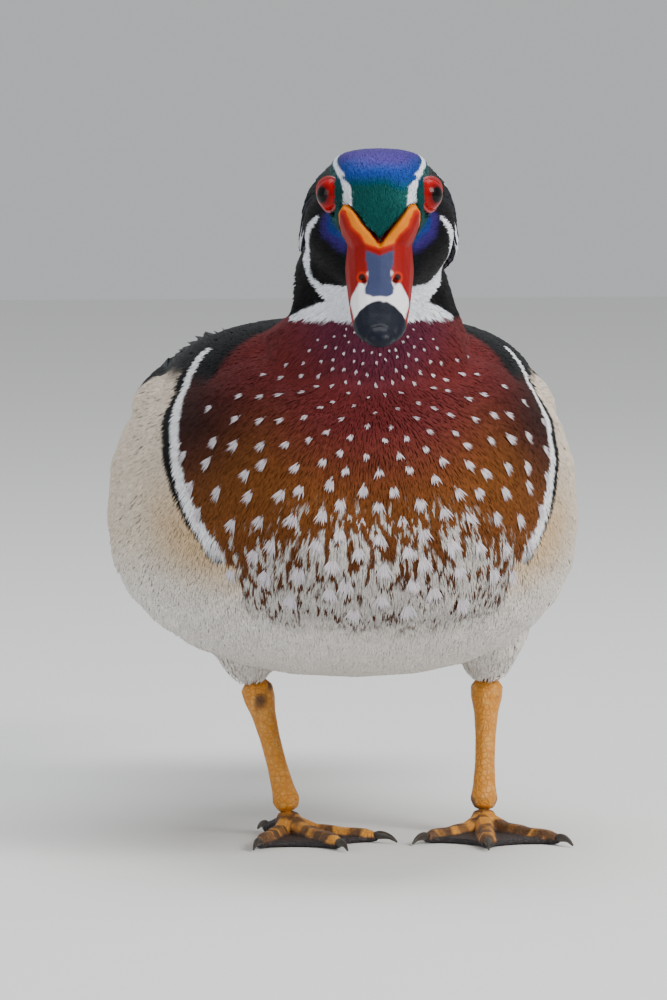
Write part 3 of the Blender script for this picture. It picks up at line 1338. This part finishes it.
t, reach, angle, width = rows_on(DARK_TIERS).T
lift = 0.2 + 0.9 * ease(0.34, 0.5, t)[:, None]
lines, outs = laid(wing_form, t, angle, reach, angle * -0.03, 0.6, lift)
tones = tip_bands(len(lines), 9, WING_BRONZE, [(0.8, 1, WING_BLACK)])
tones = blend(tones, WING_BLUE, ease(0.28, 0.5, t)[:, None, None, None] * 0.7)
on_both_wings("wing_coverts", lines, outs, width, tones, 0.6)

t, reach, angle, width = rows_on(FLIGHT_TIERS).T
lines, outs = laid(wing_form, t, angle, reach, angle * -0.1, 0.2, 1.5, 14)
tones = tip_bands(len(lines), 14, WING_BLUE, [(0.74, 0.9, WING_BLACK), (0.93, 1, BAR_WHITE)])
late = ease(0.64, 0.67, t)[:, None, None, None]
tones = blend(tones, tip_bands(len(lines), 14, WING_BLACK, []), late)
tones[:, :, 0] = blend(tones[:, :, 0], SILVER, late[:, :, 0] * 0.8)
tones[:, :, 4] = blend(tones[:, :, 4], SILVER, late[:, :, 0] * 0.8)
on_both_wings("flight_feathers", lines, outs, width, tones, 0.6)

t, reach, angle, width = rows_on(EDGE_TIERS).T
lines, outs = laid(wing_form, t, angle, reach, angle * 0.02, 0.5, 0.8)
barred = tip_bands(len(lines), 9, CREAM, [(0.5, 0.62, BLACK), (0.62, 0.85, BAR_WHITE), (0.86, 1, BLACK)])
edge = (np.degrees(angle) > 22 - 160 * t) & (t > 0.44)
lines, outs, tones, width = lines[edge], outs[edge], barred[edge], width[edge]
on_both_wings("flank_feathers", lines, outs, width, tones, 0.1)

# %% [markdown]
# ## Back and rump
# Between the wings the back has broad dark feathers with a bronze gloss, and over the tail's root they turn
# black. They are laid on the torso's own form in staggered rows.

# %% Back feathers
BACK_TIERS = [(0.57 + 0.035 * k, 0.085, 8 - k // 3, 58, 122, 15) for k in range(9)]
t, reach, angle, width = rows_on(BACK_TIERS).T
lines, outs = laid(torso_form, t, angle, reach, angle * 0, 1.0, 0.6)
tones = tip_bands(len(lines), 9, WING_BRONZE, [(0.82, 1, WING_BLACK)])
widths = width[:, None] * round_tip(np.linspace(0, 1, 9))
feathers("back_feathers", ["torso"], lines, outs, widths, tones, 0.4, 0.12)

# %% [markdown]
# ## Crest
# The crest is a mane of silky feathers that hangs from the crown over the nape, green and violet with two
# white lines on each side. Narrow curved strands are laid on the crest's form in many staggered rows.

# %% Crest strands
pad_piece("crest_pad", crest_form, -1.2, "crest", DEEP_GREEN * 0.5, 0.5)
CREST_TIERS = [(0.03 + 0.035 * k, 0.3, 26 + k, -22 - 2 * min(k, 8), 202 + 2 * min(k, 8), 2.6)
               for k in range(19)]
t, reach, angle, width = rows_on(CREST_TIERS).T
reach = np.minimum(reach, 0.96 - t) * draw.uniform(0.85, 1.0, len(t))
angle = angle + draw.normal(0, 0.03, len(t))
lines, outs = laid(crest_form, t, angle, reach, draw.normal(0, 0.06, len(t)), 0.4, 1.0, 8)
around = np.abs(np.degrees(angle) - 90)
base = cover(TEAL * 0.7, PURPLE * 0.8, ease(0.2, 0.6, t))
base = cover(base, BLUE * 0.8, ease(30, 50, around) * ease(80, 60, around))
base = cover(base, CHEEK_BLACK, ease(0.42, 0.7, t + draw.normal(0, 0.06, len(t))) * 0.85)
base = cover(base, CHEEK_BLACK, ease(66, 84, around) * 0.9)
white_line = (np.abs(around - 62 - 8 * t) < 5) | ((np.abs(around - 98 - 4 * t) < 5) & (t > 0.5))
base = np.where((white_line & (t < 0.62))[:, None], THROAT_WHITE, base)
tones = np.broadcast_to(base[:, None, None], (len(t), 8, 6, 3)) * draw.uniform(0.8, 1.2, (len(t), 1, 1, 1))
widths = width[:, None] * point_tip(np.linspace(0, 1, 8))
shine = np.where(white_line, 0.1, 0.8)[:, None, None]
feathers("crest_strands", ["crest"], lines, outs, widths, tones, shine, 0.2)

# %% [markdown]
# ## Tail
# Fourteen broad dark feathers fan out a little in a shallow roof, with coverts over and under their roots.
# Each is a straight line that droops, turned with the body's lean.

# %% Tail feathers
TAIL_DARK = paint(13, 16, 19)


def fan(ranks, root, spread, turn, long, rise, droop, roll, width, steps=12):
    s = np.linspace(0, 1, steps)[None, :, None]
    swing = np.radians(ranks * turn)[:, None]
    back = np.cos(swing)
    way = unit(np.concatenate([np.sin(swing), back * math.cos(rise), back * math.sin(rise)], 1))
    start = np.stack([ranks * spread, np.full(len(ranks), root[0]), root[1] - root[2] * np.abs(ranks)], 1)
    lines = start[:, None] + way[:, None] * long[:, None, None] * s
    lines[..., 2] -= droop[:, None] * s[..., 0] ** 2
    tilt = np.radians(roll)[:, None]
    outs = np.concatenate([np.sin(tilt), tilt * 0, np.cos(tilt)], 1)
    outs = np.broadcast_to(outs[:, None], lines.shape) @ turn_x(-BODY_LEAN).T
    return from_body(lines), outs, width * np.broadcast_to(round_tip(s[..., 0]), lines.shape[:2])


ranks = np.arange(14) - 6.5
side = np.abs(ranks) / 7
lines, outs, widths = fan(ranks, (250, 121.2, 0.75), 1.5, 2.3, 110 * (1 - 0.16 * side ** 2), math.radians(5),
                          3 + 5 * side ** 2, np.sign(ranks) * (8 + 10 * side), 16.5)
feathers("tail_feathers", ["tail"], lines, outs, widths,
         tip_bands(14, 12, TAIL_DARK, [(0.9, 1, WING_BLACK)]), 0.5, 0.35)
for k, (root_y, root_z, long) in enumerate([(240, 125.6, 42), (228, 127.2, 40)]):
    ranks = np.linspace(-1.8, 1.8, 8)
    lines, outs, widths = fan(ranks, (root_y, root_z, 1.4), 6.4, 5, np.full(8, long) - 3 * np.abs(ranks),
                              math.radians(2), np.full(8, 2.0), ranks * 14, 14)
    tones = tip_bands(8, 12, WING_BRONZE, [])
    feathers(f"tail_coverts_{k}", ["tail"], lines, outs, widths, tones, 0.5)
ranks = np.linspace(-1.6, 1.6, 8)
lines, outs, widths = fan(ranks, (236, 111, -1.0), 6.4, 3, 62 - 6 * np.abs(ranks), math.radians(4),
                          np.full(8, -3.0), -ranks * 12, 15)
feathers("undertail", ["tail"], lines, -outs, widths, tip_bands(8, 12, VENT_DARK, []), 0.2)
root_form = Form([
    (0, 232, 116, 0, 0, 0), (0, 242, 117, 16, 9, 9), (0, 258, 119, 16, 7.5, 8), (0, 276, 122, 14, 4, 5),
    (0, 290, 124, 0, 0, 0),
], to_world=from_body)
pad_piece("tail_root", root_form, -0.6, "tail", VENT_DARK, 0.2)
